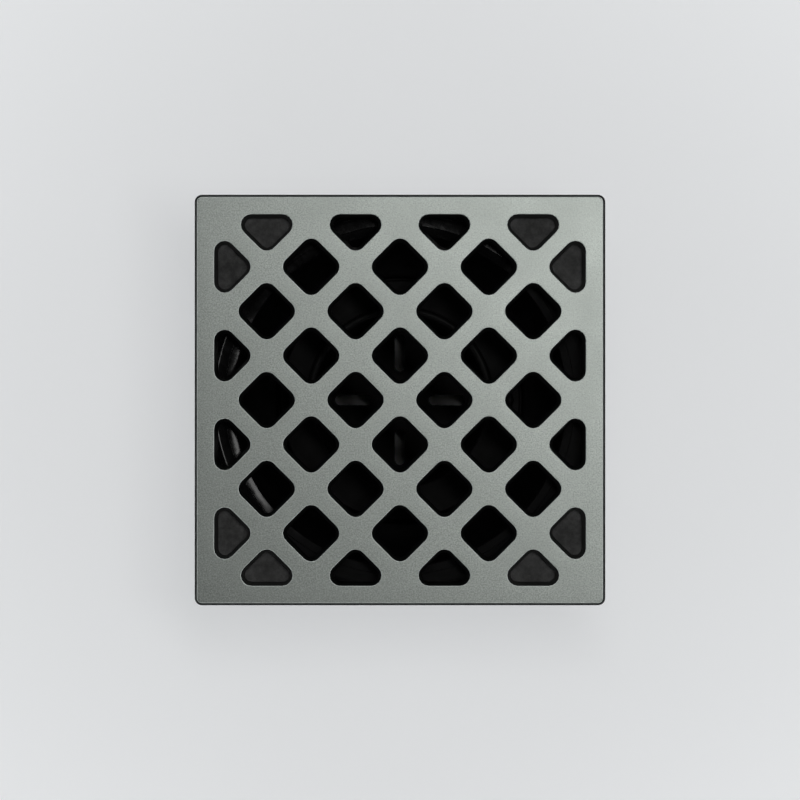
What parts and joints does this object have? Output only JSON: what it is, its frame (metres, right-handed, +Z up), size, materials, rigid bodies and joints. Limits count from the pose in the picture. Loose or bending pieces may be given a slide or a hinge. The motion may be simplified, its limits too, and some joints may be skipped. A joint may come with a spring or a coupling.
{
  "type": "floor drain grate",
  "caption": "Square cast drain grate with a diamond lattice, lying flush in a black moulded square riser with a round bowl, threaded neck and lift-out hair trap.",
  "frame": {"origin": "middle of the neck's lower end, which is the middle of the bottom of the whole cover", "axes": "+Z up out of the floor through the grate's face; +X and +Y square to the head's sides; the hair trap's handle lies on the +Y side"},
  "size_m": [0.0962, 0.0962, 0.07],
  "materials": {
    "satin_metal": "fine blasted satin, pewter grey",
    "pad_rubber": "matt",
    "riser_plastic": "black, glossy inside and satin outside",
    "trap_plastic": "black, satin",
    "seal_rubber": "matt",
    "bail_wire": "wire dipped in black nylon"
  },
  "bodies": {
    "riser_body": {"riser": "riser_plastic"},
    "grate_body": {"grate": "satin_metal", "grate_pad_front_left": "pad_rubber", "grate_pad_front_right": "pad_rubber", "grate_pad_back_left": "pad_rubber", "grate_pad_back_right": "pad_rubber"},
    "trap_body": {"trap_basket": "trap_plastic", "trap_seal": "seal_rubber"},
    "bail_body": {"trap_bail": "bail_wire"}
  },
  "joints": [
    {"name": "grate_lift", "type": "slide", "parent": "riser_body", "child": "grate_body", "axis": [0, 0, 1], "range_m": [0, 0.12]},
    {"name": "trap_lift", "type": "slide", "parent": "riser_body", "child": "trap_body", "axis": [0, 0, 1], "range_m": [0, 0.06]},
    {"name": "bail_swing", "type": "hinge", "parent": "trap_body", "child": "bail_body", "pos_m": [0, 0, 0.0396], "axis": [1, 0, 0], "range_deg": [0, 180]}
  ],
  "couplings": [
    {"joint": "trap_lift", "follows": "grate_lift", "ratio": 0.5}
  ]
}
